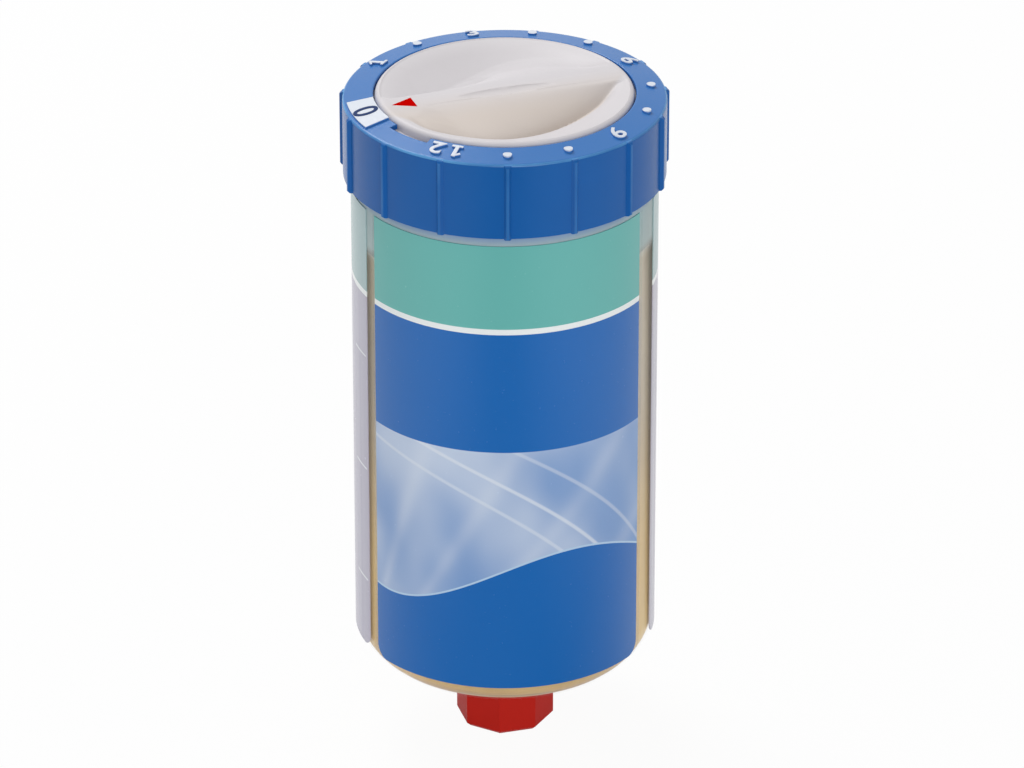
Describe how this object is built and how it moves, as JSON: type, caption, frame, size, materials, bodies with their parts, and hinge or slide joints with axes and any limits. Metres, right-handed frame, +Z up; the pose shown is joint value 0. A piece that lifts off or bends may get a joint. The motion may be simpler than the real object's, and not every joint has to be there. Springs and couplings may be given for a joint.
{
  "type": "automatic lubricator",
  "caption": "Clear upright grease container with a threaded outlet under a screw closure, a gas-driven piston, and a ribbed blue ring round a setting dial.",
  "frame": {"origin": "centre of the closure's flat end, on which the lubricator stands", "axes": "+Z up along the container's axis to the dial, -Y the side of the front label, +X to the right of that label"},
  "size_m": [0.0547, 0.0545, 0.1185],
  "materials": {
    "clear_shell": "clear moulded plastic, gloss",
    "ring_blue": "moulded plastic, satin",
    "dial_cream": "moulded plastic, fine satin",
    "pointer_red": "moulded inlay, satin",
    "closure_red": "moulded plastic, satin",
    "seal_black": "smooth rubber",
    "grease_amber": "soft grease, wet gloss",
    "piston_grey": "moulded plastic",
    "carrier_grey": "moulded plastic",
    "cell_steel": "plated steel can",
    "contact_metal": "plated spring strip",
    "board_green": "coated board",
    "chip_black": "small ceramic chips",
    "membrane_white": "fine felt",
    "label_print": "printed film, satin",
    "label_pale": "printed film, satin"
  },
  "bodies": {
    "housing": {"container": "clear_shell", "top_ring": "ring_blue", "cell_carrier": "carrier_grey", "bearing_deck": "carrier_grey", "container_seal": "seal_black", "dial_seal": "seal_black", "click_spring": "contact_metal", "circuit_board": "board_green", "resistors": "chip_black", "gas_cell_left": "cell_steel", "gas_cell_right": "cell_steel", "contact_strip": "contact_metal", "cell_contacts": "contact_metal", "gas_membrane": "membrane_white", "label_front": "label_print", "label_back": "label_pale", "grease_charge": "grease_amber"},
    "dial": {"setting_dial": "dial_cream", "pointer_inlay": "pointer_red", "wiper_contact": "contact_metal"},
    "piston": {"piston": "piston_grey", "piston_seal": "seal_black"},
    "closure_liner": {"closure_seal": "seal_black"},
    "closure": {"closure_cap": "closure_red"}
  },
  "joints": [
    {"name": "dial_turn", "type": "hinge", "parent": "housing", "child": "dial", "pos_m": [0, 0, 0.1185], "axis": [0, 0, -1], "range_deg": [0, 312]},
    {"name": "piston_travel", "type": "slide", "parent": "housing", "child": "piston", "axis": [0, 0, -1], "range_m": [0, 0.075], "deforming": ["grease_charge"]},
    {"name": "closure_travel", "type": "slide", "parent": "housing", "child": "closure_liner", "axis": [0, 0, -1], "range_m": [0, 0.0101]},
    {"name": "closure_turn", "type": "hinge", "parent": "closure_liner", "child": "closure", "pos_m": [0, 0, 0], "axis": [0, 0, -1], "range_deg": [0, 2720]}
  ],
  "couplings": [
    {"joint": "closure_turn", "follows": "closure_travel", "rad_per_m": 4699.5}
  ]
}
